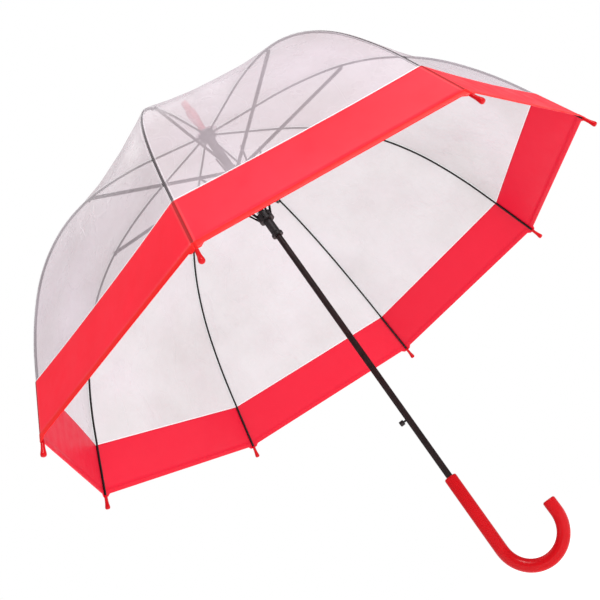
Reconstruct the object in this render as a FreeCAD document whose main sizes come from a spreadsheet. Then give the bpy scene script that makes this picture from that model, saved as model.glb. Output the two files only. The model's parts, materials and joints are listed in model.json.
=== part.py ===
import FreeCAD, Part
import math
import os
import Sketcher
from FreeCAD import Placement, Rotation, Vector

# Stick umbrella with a clear dome canopy and a coloured border, held open.
# Frame: millimetres, +Z up the shaft towards the ferrule, +X the way the crook opens,
# origin on the shaft's axis at the middle of the grip.

SECTORS = 8
STEP = 360.0 / SECTORS
HALF = math.radians(STEP / 2.0)

# alias: (value, what it is)
SIZES = {
    "shaft_diameter": (9.0, "outside of the steel tube"),
    "shaft_bore": (7.6, "inside of the steel tube"),
    "shaft_foot": (-5.0, "lower end of the shaft, inside the handle"),
    "shaft_length": (693.0, "whole shaft"),
    "running_gap": (0.25, "clearance of a part that slides on the shaft"),
    "handle_diameter": (17.5, "crook handle's tube"),
    "handle_top": (55.0, "upper end of the handle"),
    "crook_start": (-58.0, "where the straight grip turns into the crook"),
    "crook_radius": (43.0, "centreline radius of the crook"),
    "crook_rise": (17.0, "straight end past the crook"),
    "edge_round": (2.5, "rounding of the handle's two ends"),
    "hinge_height": (675.0, "plane of the rib hinges in the top notch"),
    "hinge_radius": (9.0, "radius of the rib hinge ring"),
    "wire_diameter": (0.9, "hinge wires"),
    "notch_foot": (663.0, "lower end of the top notch"),
    "notch_collar": (13.6, "diameter of the notch's collar"),
    "notch_crown": (24.0, "diameter of the notch's slotted crown"),
    "crown_height": (12.0, "height of a slotted crown"),
    "collar_height": (5.5, "height of the notch's collar"),
    "slot_root": (6.4, "how deep the crown slots reach in"),
    "rib_slot": (3.7, "width of the notch's slots"),
    "sleeve_foot": (609.0, "lower end of the stop sleeve"),
    "sleeve_length": (54.0, "stop sleeve"),
    "sleeve_diameter": (13.6, "stop sleeve"),
    "ferrule_foot": (680.5, "where the ferrule sits on the notch"),
    "ferrule_length": (66.0, "whole ferrule"),
    "ferrule_neck": (10.4, "ferrule diameter at its neck"),
    "neck_height": (14.5, "neck above the ferrule's foot"),
    "ferrule_swell": (15.8, "ferrule diameter where it swells"),
    "swell_height": (38.0, "widest place above the ferrule's foot"),
    "ferrule_tip": (11.0, "ferrule diameter at the tip"),
    "tip_height": (52.0, "where the ferrule's straight tip starts"),
    "ferrule_flange": (21.0, "ferrule's foot that holds the film"),
    "flange_height": (2.5, "thickness of that foot"),
    "hub_height": (599.0, "stretcher hinges on the upper runner"),
    "hub_foot": (570.0, "lower end of the upper runner"),
    "hub_crown": (24.0, "diameter of the upper runner's crown"),
    "hub_length": (38.0, "whole upper runner"),
    "runner_tube": (13.6, "diameter of both runners' tubes"),
    "stretcher_slot": (3.5, "width of the upper runner's slots"),
    "stretcher_offset": (3.6, "stretchers lie this far beside their rib"),
    "link_height": (510.0, "link hinges on the lower runner"),
    "link_radius": (10.0, "radius of the link hinge ring"),
    "link_slot": (2.6, "width of the lower runner's slots"),
    "runner_foot": (475.0, "lower end of the lower runner"),
    "runner_crown": (22.6, "diameter of the lower runner's crown"),
    "runner_flange": (17.0, "diameter of the lower runner's foot"),
    "runner_length": (42.0, "whole lower runner"),
    "flange_thick": (4.0, "lower runner's foot"),
    "runner_travel": (319.0, "lower runner, open to closed"),
    "spring_wire": (1.3, "opening spring wire"),
    "spring_diameter": (12.6, "opening spring, mid wire"),
    "spring_gap": (0.6, "air at each end of the spring"),
    "rib_diameter": (3.0, "rib rod"),
    "rib_length": (590.0, "rib from its hinge to the hem"),
    "rib_eye": (4.6, "eye at the rib's hinge"),
    "eye_width": (3.3, "eye at the rib's hinge"),
    "hole_diameter": (1.7, "hinge wire holes"),
    "clip_along": (220.0, "stretcher joint, along the rib"),
    "clip_diameter": (4.0, "boss at the stretcher joint"),
    "clip_width": (3.4, "boss at the stretcher joint"),
    "clip_drop": (1.0, "stretcher joint below the rib's centreline"),
    "shoulder_gap": (0.8, "each half of the rib stops this short of the shoulder"),
    "shoulder_along": (300.0, "where the rib's bend is shared out, along the rib"),
    "cap_length": (20.8, "tip cap"),
    "cap_lap": (0.8, "rod inside the tip cap"),
    "cap_neck": (5.0, "tip cap's neck"),
    "cap_ball": (7.2, "tip cap's ball end"),
    "stretcher_width": (3.0, "stretcher, along its hinge"),
    "stretcher_depth": (4.0, "stretcher, across its length"),
    "stretcher_hole": (2.4, "wire hole in the stretcher's inner end"),
    "stretcher_short": (2.5, "bar stops this far before the joint on the rib"),
    "link_along": (45.0, "link joint, along the stretcher"),
    "link_width": (2.0, "link, along its hinge"),
    "link_depth": (2.6, "link, across its length"),
    "film_thick": (0.4, "clear film"),
    "border_thick": (0.5, "coloured border with its hem"),
    "film_gap": (0.6, "film clear of the rib"),
    "side_gap": (0.5, "film clear of the next panel"),
    "film_start": (14.5, "inner edge of the clear film"),
    "seam_along": (515.0, "seam between clear film and border, along the rib"),
    "button_height": (149.0, "release button on the shaft"),
    "button_stem": (3.0, "button stem diameter"),
    "button_cap": (7.4, "button cap diameter"),
    "button_reach": (13.5, "button cap's face from the shaft's axis"),
    "button_thick": (5.6, "length of the cap"),
    "window_height": (9.0, "button's window in the shaft"),
    "window_width": (3.4, "button's window in the shaft"),
}

# slope of the rib at even steps from its hinge to the hem, degrees below level
SLOPES = (10.3, 10.3, 21.0, 40.5, 58.0, 68.0, 68.5)

doc = FreeCAD.newDocument("StickUmbrella")
sheet = doc.addObject("Spreadsheet::Sheet", "Sizes")
for row, (alias, (value, note)) in enumerate(SIZES.items(), start=1):
    sheet.set(f"A{row}", note)
    sheet.set(f"B{row}", str(value))
    sheet.setAlias(f"B{row}", alias)
doc.recompute()


def size(alias):
    return float(sheet.get(alias))


def amount(*terms):
    """A length made of sheet cells: (value, expression) from (alias, factor) pairs."""
    value = sum(size(alias) * factor for alias, factor in terms)
    words = " + ".join(f"Sizes.{alias} * ({factor})" for alias, factor in terms)
    return value, words


ZERO = (0.0, None)


def half(alias):
    return amount((alias, 0.5))


def new_body(label):
    body = doc.addObject("PartDesign::Body", label)
    body.Label = label
    return body


def plane(body, role):
    return next(o for o in body.Origin.OriginFeatures if o.Role == role)


def new_sketch(body, name, role):
    sketch = body.newObject("Sketcher::SketchObject", name)
    sketch.AttachmentSupport = [(plane(body, role), "")]
    sketch.MapMode = "FlatFace"
    return sketch


def fix_point(sketch, geo, end, across, up):
    """Ties one end of a sketch line to two sheet amounts."""
    for kind, axis, (value, words) in (("DistanceX", -2, across), ("DistanceY", -1, up)):
        if words is None:
            sketch.addConstraint(Sketcher.Constraint("PointOnObject", geo, end, axis))
        else:
            n = sketch.addConstraint(Sketcher.Constraint(kind, -1, 1, geo, end, value))
            sketch.setExpression(f"Constraints[{n}]", words)


def polygon(sketch, corners):
    """A closed outline whose corners are pairs of sheet amounts."""
    points = [Vector(a[0], b[0], 0) for a, b in corners]
    for n, point in enumerate(points):
        sketch.addGeometry(Part.LineSegment(point, points[(n + 1) % len(points)]), False)
    for n in range(len(points)):
        sketch.addConstraint(Sketcher.Constraint("Coincident", n, 2, (n + 1) % len(points), 1))
    for n, (across, up) in enumerate(corners):
        fix_point(sketch, n, 1, across, up)


def circle(sketch, across, up, diameter):
    """A circle whose centre and diameter are sheet amounts."""
    geo = sketch.addGeometry(
        Part.Circle(Vector(across[0], up[0], 0), Vector(0, 0, 1), diameter[0] / 2.0), False
    )
    n = sketch.addConstraint(Sketcher.Constraint("Diameter", geo, diameter[0]))
    sketch.setExpression(f"Constraints[{n}]", diameter[1])
    fix_point(sketch, geo, 3, across, up)


def turn(body, name, corners, cut=False):
    """A solid, or a cut, turned about the body's upright axis."""
    sketch = new_sketch(body, name + "Profile", "XZ_Plane")
    polygon(sketch, corners)
    kind = "PartDesign::Groove" if cut else "PartDesign::Revolution"
    feature = body.newObject(kind, name)
    feature.Profile = sketch
    feature.ReferenceAxis = (sketch, ["V_Axis"])
    feature.Angle = 360.0
    return feature


def ring_channel(body, name, radius, height, diameter):
    """A round channel for a hinge wire, cut all the way round."""
    sketch = new_sketch(body, name + "Profile", "XZ_Plane")
    circle(sketch, radius, height, diameter)
    groove = body.newObject("PartDesign::Groove", name)
    groove.Profile = sketch
    groove.ReferenceAxis = (sketch, ["V_Axis"])
    groove.Angle = 360.0
    return groove


def crown_slots(body, root, width, outer, offset, foot, top):
    """Slots open outwards, upwards and downwards, one for each rib."""
    sketch = new_sketch(body, "SlotOutline", "XZ_Plane")
    polygon(sketch, [(root, foot), (outer, foot), (outer, top), (root, top)])
    slot = body.newObject("PartDesign::Pocket", "Slot")
    slot.Profile = sketch
    slot.Type = 0
    slot.Midplane = True
    slot.Length = width[0]
    slot.setExpression("Length", width[1])
    if offset is not None:
        sketch.AttachmentOffset = Placement(Vector(0, 0, -offset), Rotation())
    pattern = body.newObject("PartDesign::PolarPattern", "Slots")
    pattern.Originals = [slot]
    pattern.Axis = (plane(body, "Z_Axis"), [""])
    pattern.Angle = 360.0
    pattern.Occurrences = SECTORS
    body.Tip = pattern
    return pattern


def raise_to(obj, *terms):
    value, words = amount(*terms)
    obj.Placement = Placement(Vector(0, 0, value), Rotation())
    obj.setExpression("Placement.Base.z", words)


# ---- the rib's curve: arcs of even length whose slope changes evenly ----
ARCS = len(SLOPES) - 1


def slope_at(along):
    share = along / size("rib_length") * ARCS
    n = min(int(share), ARCS - 1)
    return -math.radians(SLOPES[n] + (SLOPES[n + 1] - SLOPES[n]) * (share - n))


def rib_point(along):
    """Radius and height of the rib's centreline, height counted from its hinge."""
    radius, height, done = size("hinge_radius"), 0.0, 0.0
    length = size("rib_length") / ARCS
    while done < along - 1e-9:
        piece = min(length, along - done)
        a, b = slope_at(done + 1e-9), slope_at(done + piece - 1e-9)
        turned = b - a
        chord = piece if abs(turned) < 1e-9 else piece * math.sin(turned / 2.0) / (turned / 2.0)
        radius += chord * math.cos((a + b) / 2.0)
        height += chord * math.sin((a + b) / 2.0)
        done += piece
    return radius, height


def knots(start, end):
    """Where the arcs between two places along the rib meet."""
    length = size("rib_length") / ARCS
    inner = [n * length for n in range(1, ARCS) if start + 4.0 < n * length < end - 4.0]
    return [start] + inner + [end]


def sector_placement(turned, radius, height, tilt):
    """Local X runs out along the rib, tilted down by tilt radians."""
    across = Rotation(Vector(0, 0, 1), turned)
    down = Rotation(Vector(0, 1, 0), math.degrees(tilt))
    place = across.multVec(Vector(radius, 0, 0)) + Vector(0, 0, height)
    return Placement(place, across.multiply(down))


def curve_piece(a, middle, b):
    """An arc through three points, or a line where they don't turn."""
    if (b - a).cross(middle - a).Length < 1e-6 * (b - a).Length:
        return Part.LineSegment(a, b)
    return Part.Arc(a, middle, b)


def rod(body, start, end):
    """A round rod along the rib's curve. Local origin and X: its start and direction."""
    begin, tilt = rib_point(start), slope_at(start + 1e-6)

    def local(along):
        r, z = rib_point(along)
        dx, dz = r - begin[0], z - begin[1]
        c, s = math.cos(tilt), math.sin(tilt)
        return Vector(dx * c + dz * s, -dx * s + dz * c, 0)

    path = new_sketch(body, "RodPath", "XZ_Plane")
    places = knots(start, end)
    for a, b in zip(places, places[1:]):
        n = path.addGeometry(curve_piece(local(a), local((a + b) / 2.0), local(b)), False)
        path.addConstraint(Sketcher.Constraint("Block", n))
    section = new_sketch(body, "RodSection", "YZ_Plane")
    circle(section, ZERO, ZERO, amount(("rib_diameter", 1.0)))
    pipe = body.newObject("PartDesign::AdditivePipe", "Rod")
    pipe.Profile = section
    pipe.Spine = (path, [f"Edge{n + 1}" for n in range(len(places) - 1)])
    return local, tilt


def boss(body, name, across, up, diameter, width, hole=None):
    """A round boss standing across the piece, with an optional hole for a wire."""
    sketch = new_sketch(body, name + "Outline", "XZ_Plane")
    geo = sketch.addGeometry(
        Part.Circle(Vector(across, up, 0), Vector(0, 0, 1), diameter[0] / 2.0), False
    )
    n = sketch.addConstraint(Sketcher.Constraint("Diameter", geo, diameter[0]))
    sketch.setExpression(f"Constraints[{n}]", diameter[1])
    pad = body.newObject("PartDesign::Pad", name)
    pad.Profile = sketch
    pad.Midplane = True
    pad.Length = width[0]
    pad.setExpression("Length", width[1])
    if hole is not None:
        outline = new_sketch(body, name + "HoleOutline", "XZ_Plane")
        geo = outline.addGeometry(
            Part.Circle(Vector(across, up, 0), Vector(0, 0, 1), hole[0] / 2.0), False
        )
        n = outline.addConstraint(Sketcher.Constraint("Diameter", geo, hole[0]))
        outline.setExpression(f"Constraints[{n}]", hole[1])
        bored = body.newObject("PartDesign::Pocket", name + "Hole")
        bored.Profile = outline
        bored.Midplane = True
        bored.Length = width[0] * 3.0
        bored.setExpression("Length", f"({width[1]}) * 3")
    return pad


nodes = {}

# ---- shaft: a steel tube with a window for the release button ----
shaft = new_body("shaft")
turn(
    shaft,
    "Tube",
    [
        (half("shaft_bore"), ZERO),
        (half("shaft_diameter"), ZERO),
        (half("shaft_diameter"), amount(("shaft_length", 1.0))),
        (half("shaft_bore"), amount(("shaft_length", 1.0))),
    ],
)
window_outline = new_sketch(shaft, "WindowOutline", "YZ_Plane")
window_low = amount(("button_height", 1.0), ("shaft_foot", -1.0), ("window_height", -0.5))
window_high = amount(("button_height", 1.0), ("shaft_foot", -1.0), ("window_height", 0.5))
wide = amount(("window_width", 0.5))
narrow = amount(("window_width", -0.5))
polygon(
    window_outline,
    [(narrow, window_low), (wide, window_low), (wide, window_high), (narrow, window_high)],
)
window = shaft.newObject("PartDesign::Pocket", "Window")
window.Profile = window_outline
window.Type = 0
window.Length = 8.0
window.setExpression("Length", "Sizes.shaft_diameter")
raise_to(shaft, ("shaft_foot", 1.0))
nodes["shaft"] = shaft

# ---- crook handle ----
handle = new_body("handle")
grip = size("handle_top") - size("crook_start")
bend = size("crook_radius")
crook_path = new_sketch(handle, "CrookPath", "XZ_Plane")
top_point = Vector(0, size("handle_top"), 0)
turn_point = Vector(0, size("crook_start"), 0)
low_point = Vector(bend, size("crook_start") - bend, 0)
far_point = Vector(2.0 * bend, size("crook_start"), 0)
end_point = Vector(2.0 * bend, size("crook_start") + size("crook_rise"), 0)
for piece in (
    Part.LineSegment(top_point, turn_point),
    Part.Arc(turn_point, low_point, far_point),
    Part.LineSegment(far_point, end_point),
):
    crook_path.addConstraint(Sketcher.Constraint("Block", crook_path.addGeometry(piece, False)))
crook_section = new_sketch(handle, "CrookSection", "XY_Plane")
circle(crook_section, ZERO, ZERO, amount(("handle_diameter", 1.0)))
crook_section.AttachmentOffset = Placement(Vector(0, 0, size("handle_top")), Rotation())
crook_section.setExpression("AttachmentOffset.Base.z", "Sizes.handle_top")
crook = handle.newObject("PartDesign::AdditivePipe", "Crook")
crook.Profile = crook_section
crook.Spine = (crook_path, ["Edge1", "Edge2", "Edge3"])
doc.recompute()
ends = [
    f"Edge{n + 1}"
    for n, edge in enumerate(crook.Shape.Edges)
    if edge.Closed
    and abs(edge.BoundBox.ZLength) < 0.01
    and (
        abs(edge.BoundBox.ZMax - size("handle_top")) < 0.01
        or abs(edge.BoundBox.ZMax - size("crook_start") - size("crook_rise")) < 0.01
    )
]
rounding = handle.newObject("PartDesign::Fillet", "Rounding")
rounding.Base = (crook, ends)
rounding.Radius = size("edge_round")
rounding.setExpression("Radius", "Sizes.edge_round")
socket_outline = new_sketch(handle, "SocketOutline", "XY_Plane")
circle(socket_outline, ZERO, ZERO, amount(("shaft_diameter", 1.0)))
socket_outline.AttachmentOffset = Placement(Vector(0, 0, size("handle_top")), Rotation())
socket_outline.setExpression("AttachmentOffset.Base.z", "Sizes.handle_top")
socket = handle.newObject("PartDesign::Pocket", "Socket")
socket.Profile = socket_outline
socket.Type = 0
socket.Length = size("handle_top") - size("shaft_foot")
socket.setExpression("Length", "Sizes.handle_top - Sizes.shaft_foot")
nodes["handle"] = handle

# ---- ferrule: foot, neck, swell and a straight tip with a rounded end, bored for the shaft ----
ferrule = new_body("ferrule")


def at(across, up):
    return Vector(across, up, 0)


shaft_side = size("shaft_diameter") / 2.0
foot_side = size("ferrule_flange") / 2.0
foot_top = size("flange_height")
neck_side = size("ferrule_neck") / 2.0
swell_side = size("ferrule_swell") / 2.0
tip_side = size("ferrule_tip") / 2.0
tip_top = size("ferrule_length")
round_start = tip_top - 0.35 * size("ferrule_tip")
round_middle = at(tip_side * 0.86, tip_top - 0.1 * size("ferrule_tip"))
bore_top = size("shaft_length") + size("shaft_foot") - size("ferrule_foot")
blend = at(neck_side + 1.3, 2.0 * foot_top)
waist = at(neck_side, size("neck_height"))
turning = at(neck_side + 1.0, 2.0 * size("neck_height") - 2.0 * foot_top)
widest = at(swell_side, size("swell_height"))
tip_start = at(tip_side, size("tip_height"))
ferrule_profile = new_sketch(ferrule, "FerruleProfile", "XZ_Plane")
for piece in (
    Part.LineSegment(at(shaft_side, 0), at(foot_side, 0)),
    Part.LineSegment(at(foot_side, 0), at(foot_side, foot_top)),
    Part.LineSegment(at(foot_side, foot_top), blend),
    Part.Arc(blend, waist, turning),
    Part.Arc(turning, widest, tip_start),
    Part.LineSegment(tip_start, at(tip_side, round_start)),
    Part.Arc(at(tip_side, round_start), round_middle, at(tip_side * 0.5, tip_top)),
    Part.LineSegment(at(tip_side * 0.5, tip_top), at(0, tip_top)),
    Part.LineSegment(at(0, tip_top), at(0, bore_top)),
    Part.LineSegment(at(0, bore_top), at(shaft_side, bore_top)),
    Part.LineSegment(at(shaft_side, bore_top), at(shaft_side, 0)),
):
    n = ferrule_profile.addGeometry(piece, False)
    ferrule_profile.addConstraint(Sketcher.Constraint("Block", n))
ferrule_body = ferrule.newObject("PartDesign::Revolution", "FerruleBody")
ferrule_body.Profile = ferrule_profile
ferrule_body.ReferenceAxis = (ferrule_profile, ["V_Axis"])
ferrule_body.Angle = 360.0
raise_to(ferrule, ("ferrule_foot", 1.0))
nodes["ferrule"] = ferrule

# ---- top notch: slotted crown that carries the rib hinges ----
notch = new_body("top_notch")
crown_foot = amount(("collar_height", 1.0))
crown_top = amount(("collar_height", 1.0), ("crown_height", 1.0))
turn(
    notch,
    "NotchBody",
    [
        (half("shaft_diameter"), ZERO),
        (half("notch_collar"), ZERO),
        (half("notch_collar"), crown_foot),
        (half("notch_crown"), crown_foot),
        (half("notch_crown"), crown_top),
        (half("shaft_diameter"), crown_top),
    ],
)
notch_hinge = amount(("hinge_height", 1.0), ("notch_foot", -1.0))
ring_channel(
    notch,
    "WireChannel",
    amount(("hinge_radius", 1.0)),
    notch_hinge,
    amount(("wire_diameter", 1.3)),
)
crown_slots(
    notch,
    amount(("slot_root", 1.0)),
    amount(("rib_slot", 1.0)),
    half("notch_crown"),
    None,
    amount(("collar_height", 0.5)),
    amount(("collar_height", 1.0), ("crown_height", 0.86)),
)
raise_to(notch, ("notch_foot", 1.0))
nodes["top_notch"] = notch

# ---- stop sleeve: spacer on the shaft that stops the upper runner ----
sleeve = new_body("stop_sleeve")
turn(
    sleeve,
    "Sleeve",
    [
        (half("shaft_diameter"), ZERO),
        (half("sleeve_diameter"), ZERO),
        (half("sleeve_diameter"), amount(("sleeve_length", 1.0))),
        (half("shaft_diameter"), amount(("sleeve_length", 1.0))),
    ],
)
raise_to(sleeve, ("sleeve_foot", 1.0))
nodes["stop_sleeve"] = sleeve

# ---- upper runner: the stretchers' hub ----
bore = amount(("shaft_diameter", 0.5), ("running_gap", 1.0))
upper = new_body("upper_runner")
hub_mid = amount(("hub_height", 1.0), ("hub_foot", -1.0))
hub_low = amount(("hub_height", 1.0), ("hub_foot", -1.0), ("crown_height", -0.5))
hub_high = amount(("hub_height", 1.0), ("hub_foot", -1.0), ("crown_height", 0.5))
turn(
    upper,
    "HubBody",
    [
        (bore, ZERO),
        (half("runner_tube"), ZERO),
        (half("runner_tube"), hub_low),
        (half("hub_crown"), hub_low),
        (half("hub_crown"), hub_high),
        (half("runner_tube"), hub_high),
        (half("runner_tube"), amount(("hub_length", 1.0))),
        (bore, amount(("hub_length", 1.0))),
    ],
)
hub_ring = math.hypot(size("hinge_radius"), size("stretcher_offset"))
ring_channel(
    upper,
    "WireChannel",
    (hub_ring, "sqrt(Sizes.hinge_radius ^ 2 + Sizes.stretcher_offset ^ 2)"),
    hub_mid,
    amount(("wire_diameter", 1.3)),
)
crown_slots(
    upper,
    amount(("slot_root", 1.0)),
    amount(("stretcher_slot", 1.0)),
    amount(("hub_crown", 0.6)),
    size("stretcher_offset"),
    amount(("hub_height", 1.0), ("hub_foot", -1.0), ("crown_height", -0.32)),
    amount(("hub_length", 1.02)),
)
raise_to(upper, ("hub_foot", 1.0))
nodes["upper_runner"] = upper

# ---- lower runner: toothed crown, tube and foot ----
lower = new_body("lower_runner")
link_mid = amount(("link_height", 1.0), ("runner_foot", -1.0))
link_low = amount(("link_height", 1.0), ("runner_foot", -1.0), ("crown_height", -0.5))
link_high = amount(("link_height", 1.0), ("runner_foot", -1.0), ("crown_height", 0.5))
turn(
    lower,
    "RunnerBody",
    [
        (bore, ZERO),
        (half("runner_flange"), ZERO),
        (half("runner_flange"), amount(("flange_thick", 1.0))),
        (half("runner_tube"), amount(("flange_thick", 1.5))),
        (half("runner_tube"), link_low),
        (half("runner_crown"), link_low),
        (half("runner_crown"), link_high),
        (half("runner_tube"), link_high),
        (half("runner_tube"), amount(("runner_length", 1.0))),
        (bore, amount(("runner_length", 1.0))),
    ],
)
ring_channel(
    lower,
    "WireChannel",
    amount(("link_radius", 1.0)),
    link_mid,
    amount(("wire_diameter", 1.3)),
)
crown_slots(
    lower,
    amount(("slot_root", 1.2)),
    amount(("link_slot", 1.0)),
    amount(("runner_crown", 0.6)),
    None,
    amount(("link_height", 1.0), ("runner_foot", -1.0), ("crown_height", -0.28)),
    amount(("runner_length", 1.02)),
)
raise_to(lower, ("runner_foot", 1.0))
nodes["lower_runner"] = lower

# ---- hinge wires: rings through the rib, stretcher and link eyes ----
for label, radius, place in (
    ("notch_wire", "Sizes.hinge_radius", "hinge_height"),
    ("hub_wire", "sqrt(Sizes.hinge_radius ^ 2 + Sizes.stretcher_offset ^ 2)", "hub_height"),
    ("link_wire", "Sizes.link_radius", "link_height"),
):
    wire = doc.addObject("Part::Torus", label)
    wire.Label = label
    wire.setExpression("Radius1", radius)
    wire.setExpression("Radius2", "Sizes.wire_diameter / 2")
    raise_to(wire, (place, 1.0))
    nodes[label] = wire

# ---- opening spring: a coil round the shaft between the two runners ----
spring_foot = size("runner_foot") + size("runner_length") + size("spring_gap")
spring_top = size("hub_foot") - size("spring_gap")
spring_turns = 12
coil_rise = spring_top - spring_foot - size("spring_wire")
coil_path = doc.addObject("Part::Helix", "SpringPath")
coil_path.Radius = size("spring_diameter") / 2.0
coil_path.setExpression("Radius", "Sizes.spring_diameter / 2")
coil_path.Pitch = coil_rise / spring_turns
coil_path.Height = coil_rise
coil_section = doc.addObject("Part::Circle", "SpringSection")
coil_section.setExpression("Radius", "Sizes.spring_wire / 2")
coil_section.Placement = Placement(
    Vector(size("spring_diameter") / 2.0, 0, 0), Rotation(Vector(1, 0, 0), 90)
)
coil = doc.addObject("Part::Sweep", "opening_spring")
coil.Label = "opening_spring"
coil.Sections = [coil_section]
coil.Spine = (coil_path, ["Edge1"])
coil.Solid = True
coil.Frenet = True
doc.recompute()
coil.Placement = Placement(
    Vector(0, 0, spring_foot + size("spring_wire") / 2.0), Rotation()
)
nodes["opening_spring"] = coil

# ---- release button: stem through the shaft's window, cap outside ----
button = new_body("release_button")
stem_outline = new_sketch(button, "StemOutline", "YZ_Plane")
circle(stem_outline, ZERO, ZERO, amount(("button_stem", 1.0)))
stem = button.newObject("PartDesign::Pad", "Stem")
stem.Profile = stem_outline
stem.Length = size("button_reach") - 1.5
stem.Reversed = True
stem_outline.AttachmentOffset = Placement(Vector(0, 0, -1.5), Rotation())
cap_outline = new_sketch(button, "CapOutline", "YZ_Plane")
circle(cap_outline, ZERO, ZERO, amount(("button_cap", 1.0)))
cap_outline.AttachmentOffset = Placement(
    Vector(0, 0, size("button_thick") - size("button_reach")), Rotation()
)
cap_outline.setExpression("AttachmentOffset.Base.z", "Sizes.button_thick - Sizes.button_reach")
cap_pad = button.newObject("PartDesign::Pad", "Cap")
cap_pad.Profile = cap_outline
cap_pad.Reversed = True
cap_pad.Length = size("button_thick")
cap_pad.setExpression("Length", "Sizes.button_thick")
raise_to(button, ("button_height", 1.0))
nodes["release_button"] = button

# ---- one rib, stretcher and link for each sector ----
clip_slope = slope_at(size("clip_along"))
clip_r, clip_z = rib_point(size("clip_along"))
clip = (
    clip_r + size("clip_drop") * math.sin(clip_slope),
    clip_z - size("clip_drop") * math.cos(clip_slope),
)
hub = (size("hinge_radius"), size("hub_height") - size("hinge_height"))
stretcher_length = math.hypot(clip[0] - hub[0], clip[1] - hub[1])
stretcher_tilt = math.atan2(clip[1] - hub[1], clip[0] - hub[0])
link_foot = (size("link_radius"), size("link_height") - size("hinge_height"))
link_end = (
    hub[0] + size("link_along") * math.cos(stretcher_tilt),
    hub[1] + size("link_along") * math.sin(stretcher_tilt),
)
link_length = math.hypot(link_end[0] - link_foot[0], link_end[1] - link_foot[1])
link_tilt = math.atan2(link_end[1] - link_foot[1], link_end[0] - link_foot[0])


def flat_bar(label, length, depth, width, holes):
    """A flat bar with round ends along local X, its hinge line at the local origin."""
    body = new_body(label)
    outline = new_sketch(body, "BarOutline", "XZ_Plane")
    r = depth[0] / 2.0
    up = Vector(0, 0, 1)
    pieces = (
        Part.LineSegment(Vector(0, -r, 0), Vector(length, -r, 0)),
        Part.Arc(Vector(length, -r, 0), Vector(length + r, 0, 0), Vector(length, r, 0)),
        Part.LineSegment(Vector(length, r, 0), Vector(0, r, 0)),
        Part.Arc(Vector(0, r, 0), Vector(-r, 0, 0), Vector(0, -r, 0)),
    )
    for piece in pieces:
        outline.addConstraint(Sketcher.Constraint("Block", outline.addGeometry(piece, False)))
    for place, diameter in holes:
        geo = outline.addGeometry(Part.Circle(Vector(place, 0, 0), up, diameter / 2.0), False)
        outline.addConstraint(Sketcher.Constraint("Block", geo))
    bar = body.newObject("PartDesign::Pad", "Bar")
    bar.Profile = outline
    bar.Midplane = True
    bar.Length = width[0]
    bar.setExpression("Length", width[1])
    return body


for sector in range(SECTORS):
    turned = sector * STEP
    name = str(sector + 1)

    inner = new_body("rib_inner_" + name)
    local, tilt = rod(inner, 0.0, size("shoulder_along") - size("shoulder_gap"))
    boss(
        inner,
        "Eye",
        0.0,
        0.0,
        amount(("rib_eye", 1.0)),
        amount(("eye_width", 1.0)),
        amount(("hole_diameter", 1.0)),
    )
    boss_r, boss_z = clip[0] - size("hinge_radius"), clip[1]
    boss(
        inner,
        "ClipBoss",
        boss_r * math.cos(tilt) + boss_z * math.sin(tilt),
        boss_z * math.cos(tilt) - boss_r * math.sin(tilt),
        amount(("clip_diameter", 1.0)),
        amount(("clip_width", 1.0)),
    )
    inner.Placement = sector_placement(
        turned, size("hinge_radius"), size("hinge_height"), -tilt
    )
    nodes[inner.Label] = inner

    outer = new_body("rib_rod_" + name)
    rod_end = size("rib_length")
    rod_start = size("shoulder_along") + size("shoulder_gap")
    start_r, start_z = rib_point(rod_start)
    local, tilt = rod(outer, rod_start, rod_end)
    outer.Placement = sector_placement(
        turned, start_r, size("hinge_height") + start_z, -tilt
    )
    cap = new_body("rib_cap_" + name)
    hold = half("rib_diameter")
    turn(
        cap,
        "CapShape",
        [
            (hold, ZERO),
            (half("cap_neck"), ZERO),
            (half("cap_neck"), amount(("cap_length", 1.0), ("cap_ball", -0.95))),
            (half("cap_ball"), amount(("cap_length", 1.0), ("cap_ball", -0.68))),
            (half("cap_ball"), amount(("cap_length", 1.0), ("cap_ball", -0.32))),
            (amount(("cap_ball", 0.27)), amount(("cap_length", 1.0))),
            (ZERO, amount(("cap_length", 1.0))),
            (ZERO, amount(("cap_lap", 1.0))),
            (hold, amount(("cap_lap", 1.0))),
        ],
    )
    end_r, end_z = rib_point(rod_end)
    end_tilt = slope_at(rod_end - 1e-6)
    back = Vector(math.cos(end_tilt), 0, math.sin(end_tilt)) * -size("cap_lap")
    upright = Rotation(Vector(0, 1, 0), 90.0 - math.degrees(end_tilt))
    around = Rotation(Vector(0, 0, 1), turned)
    spot = Vector(end_r, 0, size("hinge_height") + end_z) + back
    cap.Placement = Placement(around.multVec(spot), around.multiply(upright))
    tipped = doc.addObject("Part::Compound", "rib_outer_" + name)
    tipped.Label = "rib_outer_" + name
    tipped.Links = [outer, cap]
    nodes[tipped.Label] = tipped

    stretcher = flat_bar(
        "stretcher_" + name,
        stretcher_length - size("stretcher_short"),
        amount(("stretcher_depth", 1.0)),
        amount(("stretcher_width", 1.0)),
        [(0.0, size("stretcher_hole")), (size("link_along"), size("hole_diameter"))],
    )
    beside = Rotation(Vector(0, 0, 1), turned).multVec(Vector(0, size("stretcher_offset"), 0))
    seat = sector_placement(turned, hub[0], size("hub_height"), -stretcher_tilt)
    stretcher.Placement = Placement(seat.Base + beside, seat.Rotation)
    nodes[stretcher.Label] = stretcher

    link = flat_bar(
        "link_" + name,
        link_length,
        amount(("link_depth", 1.0)),
        amount(("link_width", 1.0)),
        [(0.0, size("hole_diameter"))],
    )
    link.Placement = sector_placement(
        turned, link_foot[0], size("link_height"), -link_tilt
    )
    nodes[link.Label] = link


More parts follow.
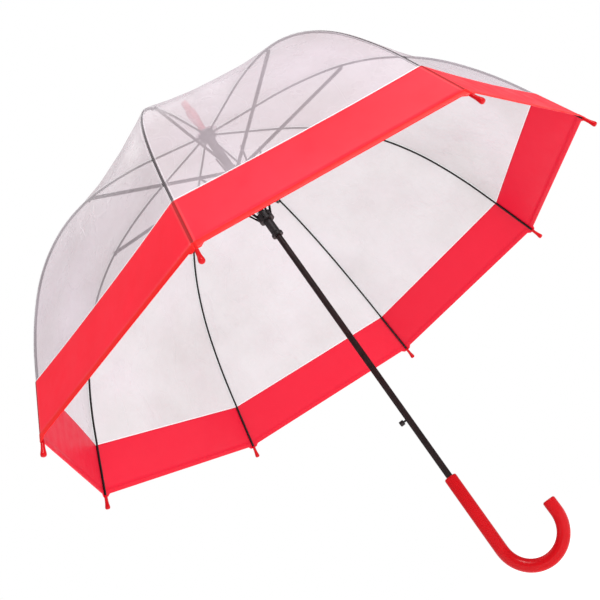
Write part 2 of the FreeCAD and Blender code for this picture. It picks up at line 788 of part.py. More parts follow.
# ---- film: each panel is flat across, from rib to rib, and follows the ribs' curve ----
def film_point(along, lift):
    """Middle of a panel: the rib's curve moved out by lift, closer in by the flat chord."""
    r, z = rib_point(along)
    a = slope_at(min(max(along, 1e-6), size("rib_length") - 1e-6))
    return Vector((r - lift * math.sin(a)) * math.cos(HALF), z + lift * math.cos(a), 0)


def panel(label, start, end, thick, turned):
    body = new_body(label)
    inside = size("rib_diameter") / 2.0 + size("film_gap")
    outside = inside + size(thick)
    profile = new_sketch(body, "FilmProfile", "XZ_Plane")
    places = knots(start, end)
    for a, b in zip(places, places[1:]):
        for lift in (inside, outside):
            ends = film_point(a, lift), film_point(b, lift)
            piece = curve_piece(ends[0], film_point((a + b) / 2.0, lift), ends[1])
            profile.addConstraint(Sketcher.Constraint("Block", profile.addGeometry(piece, False)))
    for end_place in (start, end):
        edge = Part.LineSegment(film_point(end_place, inside), film_point(end_place, outside))
        profile.addConstraint(Sketcher.Constraint("Block", profile.addGeometry(edge, False)))
    sheet_pad = body.newObject("PartDesign::Pad", "Film")
    sheet_pad.Profile = profile
    sheet_pad.Midplane = True
    reach = film_point(end, outside).x
    sheet_pad.Length = 2.2 * reach * math.tan(HALF)
    trim = new_sketch(body, "SideTrim", "XY_Plane")
    inner_x = 0.5 * film_point(start, inside).x
    outer_x = 1.2 * reach
    slack = size("side_gap") / math.cos(HALF)
    for side in (1.0, -1.0):
        corners = [
            Vector(inner_x, side * (inner_x * math.tan(HALF) - slack), 0),
            Vector(outer_x, side * (outer_x * math.tan(HALF) - slack), 0),
            Vector(outer_x, side * 1.3 * outer_x, 0),
            Vector(inner_x, side * 1.3 * outer_x, 0),
        ]
        for n, corner in enumerate(corners):
            line = Part.LineSegment(corner, corners[(n + 1) % 4])
            trim.addConstraint(Sketcher.Constraint("Block", trim.addGeometry(line, False)))
    cut = body.newObject("PartDesign::Pocket", "Sides")
    cut.Profile = trim
    cut.Type = 1
    cut.Midplane = True
    body.Placement = Placement(
        Vector(0, 0, size("hinge_height")), Rotation(Vector(0, 0, 1), turned + STEP / 2.0)
    )
    return body


def film_start():
    """Along the rib, where the clear film begins outside the notch."""
    along = 0.0
    while film_point(along, 0.0).x < size("film_start"):
        along += 0.5
    return along


for sector in range(SECTORS):
    turned = sector * STEP
    name = str(sector + 1)
    crown_film = panel(
        "crown_film_" + name, film_start(), size("shoulder_along") - 0.5, "film_thick", turned
    )
    nodes[crown_film.Label] = crown_film
    side_film = panel(
        "side_film_" + name,
        size("shoulder_along") + 0.5,
        size("seam_along"),
        "film_thick",
        turned,
    )
    border = panel(
        "border_" + name, size("seam_along"), size("rib_length") - 1.0, "border_thick", turned
    )
    skirt = doc.addObject("Part::Compound", "skirt_" + name)
    skirt.Label = "skirt_" + name
    skirt.Links = [side_film, border]
    nodes[skirt.Label] = skirt

doc.recompute()

# ---- checks, then one file for each node ----
for obj in doc.Objects:
    if "Invalid" in obj.State or "Error" in obj.State:
        raise RuntimeError(f"{obj.Label} failed: {obj.State}")
if abs(window.Shape.Volume - window.BaseFeature.Shape.Volume) < 1.0:
    raise RuntimeError("the button's window cut nothing")
if abs(socket.Shape.Volume - rounding.Shape.Volume) < 1.0:
    raise RuntimeError("the handle's socket cut nothing")
for label, obj in nodes.items():
    shape = obj.Shape
    if shape.isNull() or not shape.isValid() or shape.Volume <= 0.0:
        raise RuntimeError(f"{label} has no valid solid")
os.makedirs("parts", exist_ok=True)
for label, obj in nodes.items():
    obj.Shape.exportStep(os.path.join("parts", label + ".step"))
    box = obj.Shape.BoundBox
    print(
        f"{label}: {len(obj.Shape.Solids)} solid(s), {obj.Shape.Volume:.0f} mm3, "
        f"z {box.ZMin:.1f} to {box.ZMax:.1f}"
    )
print(len(nodes), "nodes; hub to rib joint", round(stretcher_length, 2), "link", round(link_length, 2))
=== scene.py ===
import json
import math

import bpy
from mathutils import Matrix, Vector, noise

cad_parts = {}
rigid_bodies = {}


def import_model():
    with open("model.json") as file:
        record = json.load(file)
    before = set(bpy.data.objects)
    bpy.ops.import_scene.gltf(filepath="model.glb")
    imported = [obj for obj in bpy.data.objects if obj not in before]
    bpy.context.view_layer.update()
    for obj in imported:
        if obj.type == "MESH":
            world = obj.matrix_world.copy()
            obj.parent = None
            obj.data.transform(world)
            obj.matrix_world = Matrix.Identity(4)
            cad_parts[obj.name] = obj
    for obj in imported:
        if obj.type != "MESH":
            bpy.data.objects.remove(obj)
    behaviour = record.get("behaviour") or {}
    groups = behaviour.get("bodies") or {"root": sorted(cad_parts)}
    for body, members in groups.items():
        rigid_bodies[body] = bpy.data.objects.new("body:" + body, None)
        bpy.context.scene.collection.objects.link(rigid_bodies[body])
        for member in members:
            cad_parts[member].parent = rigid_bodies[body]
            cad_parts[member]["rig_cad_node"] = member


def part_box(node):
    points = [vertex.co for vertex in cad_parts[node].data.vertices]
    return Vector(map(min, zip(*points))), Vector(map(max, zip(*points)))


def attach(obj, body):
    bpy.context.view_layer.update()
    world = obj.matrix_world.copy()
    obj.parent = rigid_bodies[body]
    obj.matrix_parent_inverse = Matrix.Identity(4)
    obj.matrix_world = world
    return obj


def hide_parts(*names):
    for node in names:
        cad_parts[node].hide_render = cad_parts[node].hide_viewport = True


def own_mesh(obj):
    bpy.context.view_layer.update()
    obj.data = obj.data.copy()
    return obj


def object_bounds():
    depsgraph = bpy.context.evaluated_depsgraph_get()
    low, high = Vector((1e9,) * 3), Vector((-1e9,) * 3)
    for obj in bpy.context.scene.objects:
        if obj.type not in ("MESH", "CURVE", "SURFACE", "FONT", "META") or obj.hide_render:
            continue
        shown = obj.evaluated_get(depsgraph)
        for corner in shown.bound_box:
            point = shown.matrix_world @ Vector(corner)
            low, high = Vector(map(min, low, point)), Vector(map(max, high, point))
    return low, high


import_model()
cad_low, cad_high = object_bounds()

SECTORS = 8
STEP = 2.0 * math.pi / SECTORS
HALF = STEP / 2.0

# ---- the rib's curve, in metres along the rib from its hinge ----
RIB_SLOPES = (10.3, 10.3, 21.0, 40.5, 58.0, 68.0, 68.5)  # degrees below level, at even steps
RIB_LENGTH = 0.590
RIB_RADIUS = 0.0015
SHOULDER = 0.300
SEAM = 0.515
FILM_START = 0.0075
FILM_LIFT = 0.0023  # film above the rib's centreline
FILM_DIP = 0.0075  # how far the film dips in between two ribs, at most
LONG_RIPPLE = 0.0013  # height of the ripples that run down the film
CROSS_RIPPLE = 0.0010  # height of the ripples that run across it

wire_low, wire_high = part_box("notch_wire")
HINGE_HEIGHT = (wire_low.z + wire_high.z) / 2.0
HINGE_RADIUS = 0.009


def slope_at(along):
    """Angle of the rib's curve above level, in radians."""
    share = min(max(along / RIB_LENGTH, 0.0), 0.999999) * (len(RIB_SLOPES) - 1)
    n = int(share)
    return -math.radians(RIB_SLOPES[n] + (RIB_SLOPES[n + 1] - RIB_SLOPES[n]) * (share - n))


CURVE_STEP = 0.0005
CURVE_LENGTH = 0.64  # the rib's curve and a straight run past its end
curve = [(HINGE_RADIUS, HINGE_HEIGHT)]
for n in range(int(CURVE_LENGTH / CURVE_STEP)):
    tilt = slope_at((n + 0.5) * CURVE_STEP)
    r, z = curve[-1]
    curve.append((r + CURVE_STEP * math.cos(tilt), z + CURVE_STEP * math.sin(tilt)))


def rib_at(along):
    """Radius and height of the rib's centreline."""
    share = along / CURVE_STEP
    n = min(int(share), len(curve) - 2)
    t = share - n
    return (
        curve[n][0] * (1 - t) + curve[n + 1][0] * t,
        curve[n][1] * (1 - t) + curve[n + 1][1] * t,
    )


def turned(point, angle):
    c, s = math.cos(angle), math.sin(angle)
    return Vector((point[0] * c - point[1] * s, point[0] * s + point[1] * c, point[2]))


def limited(share):
    """The nearest value from 0 to 1."""
    return min(max(share, 0.0), 1.0)


def pull_in(along, across):
    """How far stretched film dips in between two ribs."""
    t = limited((along - FILM_START) / (RIB_LENGTH - FILM_START))
    free = 1.0 - across * across
    return FILM_DIP * math.sin(math.pi * t**0.9) ** 1.2 * free


def wrinkle(along, across, sector):
    """Small ripples, calmer towards the hem."""
    free = (1.0 - across * across) ** 0.7
    t = limited((along - FILM_START) / (SEAM - FILM_START))
    r = rib_at(along)[0]
    side = across * r * math.sin(HALF)
    long_ripple = noise.noise(Vector((side * 34.0, along * 5.0, sector * 7.3)))
    cross_ripple = noise.noise(Vector((side * 9.0, along * 30.0, sector * 3.1 + 40.0)))
    calm = 1.0 - 0.85 * t**6
    return (LONG_RIPPLE * long_ripple + CROSS_RIPPLE * cross_ripple) * free * calm


def canopy(along, across, sector, out=0.0):
    """A point of the canopy: across runs from -1 at one rib to 1 at the next."""
    tilt = slope_at(along)
    r, z = rib_at(along)
    film_r = r - FILM_LIFT * math.sin(tilt)
    side = across * film_r * math.sin(HALF)
    out = out - pull_in(along, across) + wrinkle(along, across, sector)
    x = film_r * math.cos(HALF) - out * math.sin(tilt)
    height = z + (FILM_LIFT + out) * math.cos(tilt)
    return turned((x, side, height), sector * STEP + HALF)


# ---- materials ----
def nodes_of(name):
    mat = bpy.data.materials.new(name)
    mat.use_nodes = True
    tree = mat.node_tree
    shader = tree.nodes["Principled BSDF"]
    return mat, tree, shader


def add(tree, kind, **values):
    node = tree.nodes.new(kind)
    for key, value in values.items():
        setattr(node, key, value)
    return node


def noise_node(tree, scale, detail=3.0, stretch=(1.0, 1.0, 1.0), rough=0.55):
    where = add(tree, "ShaderNodeTexCoord")
    mapping = add(tree, "ShaderNodeMapping")
    mapping.inputs["Scale"].default_value = stretch
    tree.links.new(where.outputs["Object"], mapping.inputs["Vector"])
    tex = add(tree, "ShaderNodeTexNoise")
    tex.inputs["Scale"].default_value = scale
    tex.inputs["Detail"].default_value = detail
    tex.inputs["Roughness"].default_value = rough
    tree.links.new(mapping.outputs["Vector"], tex.inputs["Vector"])
    return tex.outputs["Fac"]


def ramp(tree, fac, stops):
    node = add(tree, "ShaderNodeValToRGB")
    while len(node.color_ramp.elements) > 1:
        node.color_ramp.elements.remove(node.color_ramp.elements[-1])
    for n, (place, colour) in enumerate(stops):
        if n == 0:
            stop = node.color_ramp.elements[0]
            stop.position = place
        else:
            stop = node.color_ramp.elements.new(place)
        stop.color = (*colour, 1.0)
    tree.links.new(fac, node.inputs["Fac"])
    return node.outputs["Color"]


def spread(tree, fac, low, high, from_low=0.0, from_high=1.0):
    node = add(tree, "ShaderNodeMapRange")
    node.inputs["From Min"].default_value = from_low
    node.inputs["From Max"].default_value = from_high
    node.inputs["To Min"].default_value = low
    node.inputs["To Max"].default_value = high
    tree.links.new(fac, node.inputs["Value"])
    return node.outputs["Result"]


def math_node(tree, kind, a, b):
    node = add(tree, "ShaderNodeMath", operation=kind)
    for socket, value in zip(node.inputs, (a, b)):
        if isinstance(value, (int, float)):
            socket.default_value = value
        else:
            tree.links.new(value, socket)
    return node.outputs[0]


def bump(tree, shader, height, strength, distance):
    node = add(tree, "ShaderNodeBump")
    node.inputs["Strength"].default_value = strength
    node.inputs["Distance"].default_value = distance
    tree.links.new(height, node.inputs["Height"])
    tree.links.new(node.outputs["Normal"], shader.inputs["Normal"])


def attribute(tree, name):
    return add(tree, "ShaderNodeAttribute", attribute_name=name).outputs["Fac"]


def mix_colour(tree, fac, a, b):
    node = add(tree, "ShaderNodeMix", data_type="RGBA")
    tree.links.new(fac, node.inputs[0])
    for socket, value in ((node.inputs[6], a), (node.inputs[7], b)):
        if isinstance(value, tuple):
            socket.default_value = (*value, 1.0)
        else:
            tree.links.new(value, socket)
    return node.outputs[2]


GRAIN_DEPTH = 0.0001


def plain_material(name, dark, light, scale, rough, grain, **sockets):
    """A moulded or painted surface: mottled colour, uneven gloss and a fine grain."""
    mat, tree, shader = nodes_of(name)
    fac = noise_node(tree, scale)
    tree.links.new(ramp(tree, fac, [(0.3, dark), (0.7, light)]), shader.inputs["Base Color"])
    smear = noise_node(tree, scale * 2.7, 5.0)
    tree.links.new(
        spread(tree, smear, rough[0], rough[1], 0.3, 0.7), shader.inputs["Roughness"]
    )
    bump(tree, shader, noise_node(tree, scale * 11.0, 4.0), grain, GRAIN_DEPTH)
    for key, value in sockets.items():
        shader.inputs[key.replace("_", " ")].default_value = value
    return mat


def crease_lines(tree, scale, stretch, width):
    """Thin wandering lines, where a noise passes its middle value."""
    off_middle = math_node(tree, "SUBTRACT", noise_node(tree, scale, 2.0, stretch), 0.5)
    return spread(tree, math_node(tree, "ABSOLUTE", off_middle, 0.0), 1.0, 0.0, 0.0, width)


def film_material():
    """Clear plastic film: a pale veil over a see-through sheet, whiter at welds and creases."""
    mat, tree, shader = nodes_of("clear_film")
    cloud = noise_node(tree, 5.0, 4.0)
    tint = ramp(tree, cloud, [(0.32, (0.50, 0.42, 0.44)), (0.68, (0.69, 0.59, 0.66))])
    from_rib = attribute(tree, "from_rib")
    weld_in = spread(tree, from_rib, 0.0, 1.0, 0.0026, 0.0031)
    weld_out = spread(tree, from_rib, 1.0, 0.0, 0.0035, 0.0040)
    weld = math_node(tree, "MULTIPLY", weld_in, weld_out)
    seam = spread(tree, attribute(tree, "from_seam"), 1.0, 0.0, 0.0014, 0.0020)
    pale = math_node(tree, "MAXIMUM", math_node(tree, "MULTIPLY", weld, 0.45), seam)
    tree.links.new(mix_colour(tree, pale, tint, (0.86, 0.82, 0.85)), shader.inputs["Base Color"])
    haze = spread(tree, noise_node(tree, 16.0, 5.0), 0.42, 0.54, 0.3, 0.7)
    edge_on = add(tree, "ShaderNodeLayerWeight")
    edge_on.inputs["Blend"].default_value = 0.35
    denser = math_node(tree, "MULTIPLY", edge_on.outputs["Facing"], 0.16)
    lines = crease_lines(tree, 9.0, (1.0, 1.0, 0.30), 0.006)
    fine_lines = crease_lines(tree, 21.0, (1.0, 1.0, 0.45), 0.008)
    folds = math_node(tree, "ADD", lines, math_node(tree, "MULTIPLY", fine_lines, 0.6))
    total = math_node(tree, "ADD", haze, denser)
    total = math_node(tree, "ADD", total, math_node(tree, "MULTIPLY", folds, 0.07))
    total = math_node(tree, "ADD", total, math_node(tree, "MULTIPLY", pale, 0.30))
    clinging = spread(tree, from_rib, 0.28, 1.0, 0.0016, 0.0028)
    total = math_node(tree, "MULTIPLY", total, clinging)
    tree.links.new(math_node(tree, "MINIMUM", total, 0.92), shader.inputs["Alpha"])
    tree.links.new(
        spread(tree, noise_node(tree, 30.0, 4.0), 0.24, 0.40, 0.3, 0.7),
        shader.inputs["Roughness"],
    )
    creases = noise_node(tree, 22.0, 5.0, (1.0, 1.0, 0.35), 0.6)
    creases = math_node(tree, "ADD", creases, math_node(tree, "MULTIPLY", folds, 0.25))
    bump(tree, shader, creases, 0.40, 0.002)
    shader.inputs["IOR"].default_value = 1.49
    shader.inputs["Specular IOR Level"].default_value = 0.3
    shader.inputs["Coat Weight"].default_value = 0.06
    shader.inputs["Coat Roughness"].default_value = 0.12
    return mat


def border_material():
    """Red plastic border: satin sheet, brighter hem, a pale welded strip along each rib with a painted
    shadow of the rib down its middle, and painted shade on the inner face.
    """
    mat, tree, shader = nodes_of("red_border")
    cloud = noise_node(tree, 9.0, 4.0)
    red = ramp(tree, cloud, [(0.3, (0.86, 0.010, 0.026)), (0.7, (0.96, 0.016, 0.040))])
    from_rib = attribute(tree, "from_rib")
    rib_shadow_through_band = spread(tree, from_rib, 1.0, 0.0, 0.0014, 0.0024)
    pale = spread(tree, from_rib, 1.0, 0.0, 0.0040, 0.0048)
    red = mix_colour(tree, pale, red, (0.90, 0.036, 0.052))
    # painted shadow: the rib under the band shows as a darker red line down the middle of the weld
    red = mix_colour(tree, rib_shadow_through_band, red, (0.42, 0.020, 0.022))
    hem = spread(tree, attribute(tree, "from_hem"), 1.0, 0.0, 0.0068, 0.0074)
    red = mix_colour(tree, hem, red, (0.86, 0.010, 0.010))
    # painted shade: the border's inner face, under the canopy, is a darker red
    red = mix_colour(tree, attribute(tree, "inner_face_shade"), red, (0.74, 0.008, 0.036))
    tree.links.new(red, shader.inputs["Base Color"])
    tree.links.new(
        spread(tree, noise_node(tree, 40.0, 5.0), 0.32, 0.48, 0.3, 0.7),
        shader.inputs["Roughness"],
    )
    creases = noise_node(tree, 26.0, 5.0, (1.0, 1.0, 0.5), 0.6)
    bump(tree, shader, creases, 0.25, 0.0015)
    shader.inputs["Specular IOR Level"].default_value = 0.2
    return mat


FILM = film_material()
BORDER = border_material()
RED_GLOSS = plain_material(
    "red_gloss",
    (0.54, 0.001, 0.005),
    (0.60, 0.002, 0.007),
    14.0,
    (0.26, 0.32),
    0.01,
    Specular_IOR_Level=0.16,
    Coat_Weight=0.06,
    Coat_Roughness=0.10,
)
SHAFT = plain_material(
    "black_steel",
    (0.011, 0.005, 0.005),
    (0.019, 0.009, 0.009),
    60.0,
    (0.26, 0.38),
    0.03,
    Specular_IOR_Level=0.22,
    Coat_Weight=0.05,
    Coat_Roughness=0.15,
)
BLACK = plain_material(
    "black_plastic",
    (0.010, 0.008, 0.008),
    (0.020, 0.016, 0.017),
    80.0,
    (0.34, 0.48),
    0.08,
    Specular_IOR_Level=0.3,
)
RIB = plain_material(
    "rib_black",
    (0.005, 0.004, 0.004),
    (0.010, 0.008, 0.008),
    90.0,
    (0.30, 0.44),
    0.05,
    Specular_IOR_Level=0.2,
)
WIRE = plain_material(
    "bright_wire",
    (0.40, 0.40, 0.42),
    (0.58, 0.57, 0.58),
    120.0,
    (0.22, 0.38),
    0.1,
    Metallic=1.0,
)


# ---- mesh helpers ----
def new_object(name, verts, faces, material, body):
    mesh = bpy.data.meshes.new(name)
    mesh.from_pydata([tuple(v) for v in verts], [], faces)
    mesh.materials.append(material)
    mesh.validate()
    obj = bpy.data.objects.new(name, mesh)
    bpy.context.scene.collection.objects.link(obj)
    for poly in mesh.polygons:
        poly.use_smooth = True
    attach(obj, body)
    return obj


def store(obj, name, values):
    layer = obj.data.attributes.new(name, "FLOAT", "POINT")
    layer.data.foreach_set("value", values)


def film_sheet(name, sector, start, end, rows, cols, body):
    """One layer of clear film between two ribs."""
    verts, from_rib, from_seam = [], [], []
    for i in range(rows + 1):
        along = start + (end - start) * i / rows
        reach = rib_at(along)[0] * math.sin(HALF)
        for j in range(cols + 1):
            across = -1.0 + 2.0 * j / cols
            across = math.sin(across * math.pi / 2.0) * 0.35 + across * 0.65
            verts.append(canopy(along, across, sector))
            from_rib.append((1.0 - abs(across)) * reach)
            from_seam.append(abs(SEAM - along))
    faces = [
        (a + cols + 1, a + cols + 2, a + 1, a)
        for i in range(rows)
        for a in range(i * (cols + 1), i * (cols + 1) + cols)
    ]
    obj = new_object(name, verts, faces, FILM, body)
    store(obj, "from_rib", from_rib)
    store(obj, "from_seam", from_seam)
    return obj


def gore(start, end):
    """Greatest width, length and flat area of a panel between two ribs."""
    steps, area, widest = 40, 0.0, 0.0
    for n in range(steps):
        along = start + (end - start) * (n + 0.5) / steps
        width = 2.0 * rib_at(along)[0] * math.sin(HALF)
        widest = max(widest, width)
        area += width * (end - start) / steps
    widest = max(widest, 2.0 * rib_at(end)[0] * math.sin(HALF))
    return widest, end - start, area


HEM_WIDTH = 0.007
HEM_HALF_THICK = 0.0006
BORDER_HALF_THICK = 0.00025
EDGE_THINNING = 0.45  # share of the thickness left at the strip's two long edges
CORNER_TAPER = 0.004  # the flap fades out over this width
INNER_PAINTED_SHADE = 0.85  # share of the darker red painted on the border's inner face as shade under the canopy
CORNER_PLACES = (0.0, 0.003, 0.0065, 0.0085, 0.0105)  # extra columns beside a rib
CORNER_DROP = 0.0036  # small flap where the hem is folded at a rib


def border_sheet(name, sector):
    """The red band: a thin closed strip, thicker where its hem is folded over."""
    rows = [0.0, 0.0015, 0.004, 0.009, 0.018, 0.030, 0.042, 0.054, 0.062]
    width = RIB_LENGTH - 0.001 - SEAM
    rows = rows + [width - HEM_WIDTH - 0.0006, width - HEM_WIDTH + 0.0002]
    rows = rows + [width - 0.0045, width - 0.002, width - 0.0006, width]
    hem_reach = rib_at(RIB_LENGTH)[0] * math.sin(HALF)
    corner = [-1.0 + place / hem_reach for place in CORNER_PLACES]
    middle = [-0.9 + 1.8 * j / 28 for j in range(29)]
    places = corner + middle + [-across for across in reversed(corner)]
    cols = len(places) - 1
    outer, inner, from_rib, from_hem = [], [], [], []
    for i, down in enumerate(rows):
        along = SEAM + down
        hemmed = down > width - HEM_WIDTH
        half_thick = HEM_HALF_THICK if hemmed else BORDER_HALF_THICK
        if i in (0, len(rows) - 1):
            half_thick *= EDGE_THINNING
        reach = rib_at(along)[0] * math.sin(HALF)
        for across in places:
            beside = (1.0 - abs(across)) * hem_reach
            drop = CORNER_DROP * limited((CORNER_PLACES[-1] - beside) / CORNER_TAPER)
            drop *= limited((down - width + HEM_WIDTH) / HEM_WIDTH)
            outer.append(canopy(along + drop, across, sector, half_thick))
            inner.append(canopy(along + drop, across, sector, -half_thick))
            from_rib.append((1.0 - abs(across)) * reach)
            from_hem.append(width - down)
    count, wide = len(outer), cols + 1
    last = (len(rows) - 1) * wide
    faces = []
    for i in range(len(rows) - 1):
        for j in range(cols):
            a = i * wide + j
            faces.append((a, a + wide, a + wide + 1, a + 1))
            faces.append((count + a, count + a + 1, count + a + wide + 1, count + a + wide))
        for a, flip in ((i * wide, False), (i * wide + cols, True)):
            side = (a, count + a, count + a + wide, a + wide)
            faces.append(tuple(reversed(side)) if flip else side)
    for j in range(cols):
        faces.append((j, j + 1, count + j + 1, count + j))
        a = last + j
        faces.append((a, count + a, count + a + 1, a + 1))
    obj = new_object(name, outer + inner, faces, BORDER, "skirt_" + str(sector + 1))
    store(obj, "from_rib", from_rib * 2)
    store(obj, "from_hem", from_hem * 2)
    # marks the inner face for its painted shade
    store(obj, "inner_face_shade", [0.0] * count + [INNER_PAINTED_SHADE] * count)
    return obj


def fold(obj):
    """Gives the panel a mesh of its own."""
    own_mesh(obj)


for sector in range(SECTORS):
    number = str(sector + 1)
    crown_node, side_node = "crown_film_" + number, "skirt_" + number
    crown = film_sheet("crown_" + number, sector, FILM_START, SHOULDER, 38, 26, crown_node)
    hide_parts(crown_node)
    side = film_sheet("side_" + number, sector, SHOULDER, SEAM, 27, 30, side_node)
    border = border_sheet("border_" + number, sector)
    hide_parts(side_node)
    for piece, start, end, ribs in (
        (crown, FILM_START, SHOULDER, "rib_inner_"),
        (side, SHOULDER, SEAM, "rib_outer_"),
        (border, SEAM, RIB_LENGTH, "rib_outer_"),
    ):
        wide, long, area = gore(start, end)
        fold(piece)


# ---- outer ribs and their tip caps ----
def lathe(name, profile, place, axis, material, body, sides=24):
    """A piece turned about axis: profile holds (radius, distance along the axis)."""
    axis = Vector(axis).normalized()
    first = axis.orthogonal().normalized()
    second = axis.cross(first)
    verts, faces, rings = [], [], []
    for radius, along in profile:
        centre = Vector(place) + axis * along
        if radius < 1e-6:
            rings.append([len(verts)])
            verts.append(centre)
            continue
        rings.append(list(range(len(verts), len(verts) + sides)))
        for n in range(sides):
            turn = 2.0 * math.pi * n / sides
            verts.append(centre + first * (radius * math.cos(turn)) + second * (radius * math.sin(turn)))
    for low, high in zip(rings, rings[1:]):
        for n in range(sides):
            m = (n + 1) % sides
            if len(low) == 1:
                faces.append((low[0], high[m], high[n]))
            elif len(high) == 1:
                faces.append((low[n], low[m], high[0]))
            else:
                faces.append((low[n], low[m], high[m], high[n]))
    if len(rings[0]) > 1:
        faces.append(tuple(reversed(rings[0])))
    if len(rings[-1]) > 1:
        faces.append(tuple(rings[-1]))
    return new_object(name, verts, faces, material, body)


def rib_space(along, sector, out=0.0):
    r, z = rib_at(along)
    tilt = slope_at(along)
    return turned((r - out * math.sin(tilt), 0.0, z + out * math.cos(tilt)), sector * STEP)


def tube(name, points, radius, material, body, sides=14):
    """A round rod through points, closed at both ends."""
    verts, faces = [], []
    across = None
    for n, point in enumerate(points):
        ahead = (points[min(n + 1, len(points) - 1)] - points[max(n - 1, 0)]).normalized()
        if across is None:
            across = ahead.orthogonal().normalized()
        across = (across - ahead * across.dot(ahead)).normalized()
        other = ahead.cross(across)
        for k in range(sides):
            turn = 2.0 * math.pi * k / sides
            verts.append(point + across * (radius * math.cos(turn)) + other * (radius * math.sin(turn)))
    for n in range(len(points) - 1):
        for k in range(sides):
            m = (k + 1) % sides
            a, b = n * sides, (n + 1) * sides
            faces.append((a + k, a + m, b + m, b + k))
    faces.append(tuple(reversed(range(sides))))
    faces.append(tuple(range((len(points) - 1) * sides, len(points) * sides)))
    return new_object(name, verts, faces, material, body)


CAP_PROFILE = (
    (0.00150, 0.0000),
    (0.00200, 0.0001),
    (0.00225, 0.0006),
    (0.00235, 0.0030),
    (0.00240, 0.0070),
    (0.00255, 0.0105),
    (0.00290, 0.0132),
    (0.00330, 0.0155),
    (0.00355, 0.0174),
    (0.00350, 0.0188),
    (0.00305, 0.0200),
    (0.00215, 0.0206),
    (0.00100, 0.02078),
    (0.0, 0.0208),
)
CAP_LAP = 0.0008
ROD_START = SHOULDER - 0.0006
for sector in range(SECTORS):
    number = str(sector + 1)
    body = "rib_outer_" + number
    count = 58
    points = [
        rib_space(ROD_START + (RIB_LENGTH - ROD_START) * n / count, sector)
        for n in range(count + 1)
    ]
    rod = tube("rib_rod_" + number, points, RIB_RADIUS, RIB, body)
    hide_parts("rib_outer_" + number)
    ahead = points[-1] - points[-2]
    lathe(
        "rib_cap_" + number,
        CAP_PROFILE,
        points[-1] - ahead.normalized() * CAP_LAP,
        ahead,
        RED_GLOSS,
        body,
    )


# ---- opening spring: a coiled wire that rides on the lower runner ----
SPRING_TURNS = 12
SPRING_RADIUS = 0.0063
SPRING_WIRE = 0.00065  # half the wire's thickness
TURN_STEPS = 24
spring_low, spring_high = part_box("opening_spring")
spring_foot = spring_low.z + SPRING_WIRE
spring_rise = spring_high.z - SPRING_WIRE - spring_foot
spring_points = []
for n in range(SPRING_TURNS * TURN_STEPS + 1):
    turn = 2.0 * math.pi * n / TURN_STEPS
    height = spring_foot + spring_rise * n / (SPRING_TURNS * TURN_STEPS)
    spring_points.append(
        Vector((SPRING_RADIUS * math.cos(turn), SPRING_RADIUS * math.sin(turn), height))
    )
spring = tube(
    "spring_coil", spring_points, SPRING_WIRE, WIRE, "lower_runner", sides=8
)
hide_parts("opening_spring")
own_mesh(spring)


# ---- rosette: a clear washer over the film, round the ferrule's foot ----
def turned_ring(name, loop, material, body, sides=56):
    """A closed ring: loop holds (radius, height) round its section."""
    verts, faces = [], []
    for n in range(sides):
        turn = 2.0 * math.pi * n / sides
        verts += [(r * math.cos(turn), r * math.sin(turn), z) for r, z in loop]
    wide = len(loop)
    for n in range(sides):
        a, b = n * wide, (n + 1) % sides * wide
        for k in range(wide):
            m = (k + 1) % wide
            faces.append((a + k, b + k, b + m, a + m))
    return new_object(name, verts, faces, material, body)


ROSETTE = (
    (0.0106, 0.6814),
    (0.0106, 0.6808),
    (0.0128, 0.6806),
    (0.0160, 0.6784),
    (0.0192, 0.6768),
    (0.0193, 0.6772),
    (0.0160, 0.6790),
    (0.0128, 0.6813),
)
rosette = turned_ring("rosette", ROSETTE, FILM, "frame")
CLEAR_OF_WELDS = 0.02  # far enough from a rib or seam for plain film
for mark in ("from_rib", "from_seam"):
    store(rosette, mark, [CLEAR_OF_WELDS] * len(rosette.data.vertices))


# ---- CAD nodes that keep their shape ----
NODE_MATERIALS = {
    "shaft": SHAFT,
    "handle": RED_GLOSS,
    "ferrule": RED_GLOSS,
    "top_notch": BLACK,
    "stop_sleeve": BLACK,
    "upper_runner": BLACK,
    "lower_runner": BLACK,
    "release_button": BLACK,
    "notch_wire": WIRE,
    "hub_wire": WIRE,
    "link_wire": WIRE,
    "rib_inner": RIB,
    "stretcher": RIB,
    "link": RIB,
}
for obj in bpy.context.scene.objects:
    kind = obj.get("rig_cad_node", "").rstrip("0123456789").rstrip("_")
    if kind in NODE_MATERIALS:
        for place in obj.material_slots:
            place.material = NODE_MATERIALS[kind]


# ---- floor, light and camera ----
FLOOR_REACH = 30.0
FLOOR_GAP = 0.002  # floor below the handle


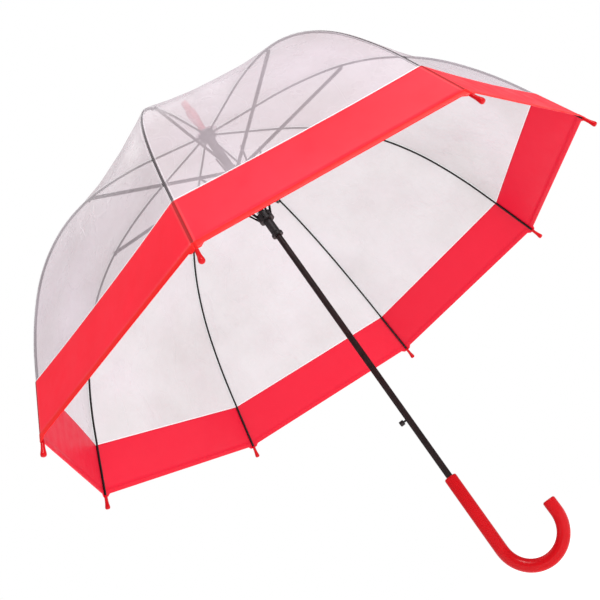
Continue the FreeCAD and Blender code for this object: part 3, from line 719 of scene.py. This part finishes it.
def floor():
    """A pale floor that glows a little, so that it stays white up to the horizon."""
    mesh = bpy.data.meshes.new("floor")
    z = cad_low.z - FLOOR_GAP
    corners = [(x * FLOOR_REACH, y * FLOOR_REACH, z) for x, y in ((-1, -1), (1, -1), (1, 1), (-1, 1))]
    mesh.from_pydata(corners, [], [(0, 1, 2, 3)])
    obj = bpy.data.objects.new("floor", mesh)
    bpy.context.scene.collection.objects.link(obj)
    mat, tree, shader = nodes_of("floor")
    fac = noise_node(tree, 3.0)
    white = ramp(tree, fac, [(0.2, (0.93, 0.93, 0.93)), (0.8, (0.95, 0.95, 0.95))])
    tree.links.new(white, shader.inputs["Base Color"])
    shader.inputs["Roughness"].default_value = 0.9
    shader.inputs["Specular IOR Level"].default_value = 0.0
    shader.inputs["Emission Color"].default_value = (1.0, 1.0, 1.0, 1.0)
    shader.inputs["Emission Strength"].default_value = 0.66
    mesh.materials.append(mat)


def area_light(name, place, target, size, power):
    data = bpy.data.lights.new(name, "AREA")
    data.shape = "DISK"
    data.size = size
    data.energy = power
    obj = bpy.data.objects.new(name, data)
    obj.location = place
    obj.rotation_euler = (Vector(target) - Vector(place)).to_track_quat("-Z", "Y").to_euler()
    bpy.context.scene.collection.objects.link(obj)


floor()
MIDDLE = (0.0, 0.0, 0.42)
area_light("key", (1.7, -1.7, 2.3), MIDDLE, 1.5, 68.0)
area_light("fill", (-2.2, -2.2, 1.1), MIDDLE, 1.2, 5.0)
area_light("top", (-0.6, 0.8, 3.4), MIDDLE, 2.0, 20.0)
world = bpy.data.worlds.new("studio")
world.use_nodes = True
tree = world.node_tree
backdrop = tree.nodes["Background"]
backdrop.inputs["Color"].default_value = (1.0, 1.0, 1.0, 1.0)
room = add(tree, "ShaderNodeBackground")
room.inputs["Color"].default_value = (0.97, 0.98, 1.0, 1.0)
room.inputs["Strength"].default_value = 0.40
path = add(tree, "ShaderNodeLightPath")
either = add(tree, "ShaderNodeMixShader")
tree.links.new(path.outputs["Is Camera Ray"], either.inputs[0])
tree.links.new(room.outputs[0], either.inputs[1])
tree.links.new(backdrop.outputs[0], either.inputs[2])
tree.links.new(either.outputs[0], tree.nodes["World Output"].inputs["Surface"])
bpy.context.scene.world = world
bpy.context.scene.view_settings.view_transform = "Standard"

camera_data = bpy.data.cameras.new("camera")
camera_data.lens = 55.44
camera_data.sensor_width = 36.0
camera_data.shift_x = -0.109
camera = bpy.data.objects.new("camera", camera_data)
heading, pitch, roll = math.radians(7.40), math.radians(17.22), math.radians(-36.06)
camera.matrix_world = (
    Matrix.Translation((0.2050, -1.2138, -0.0624))
    @ Matrix.Rotation(heading, 4, "Z")
    @ Matrix.Rotation(math.pi / 2.0 + pitch, 4, "X")
    @ Matrix.Rotation(roll, 4, "Z")
)
bpy.context.scene.collection.objects.link(camera)
bpy.context.scene.camera = camera
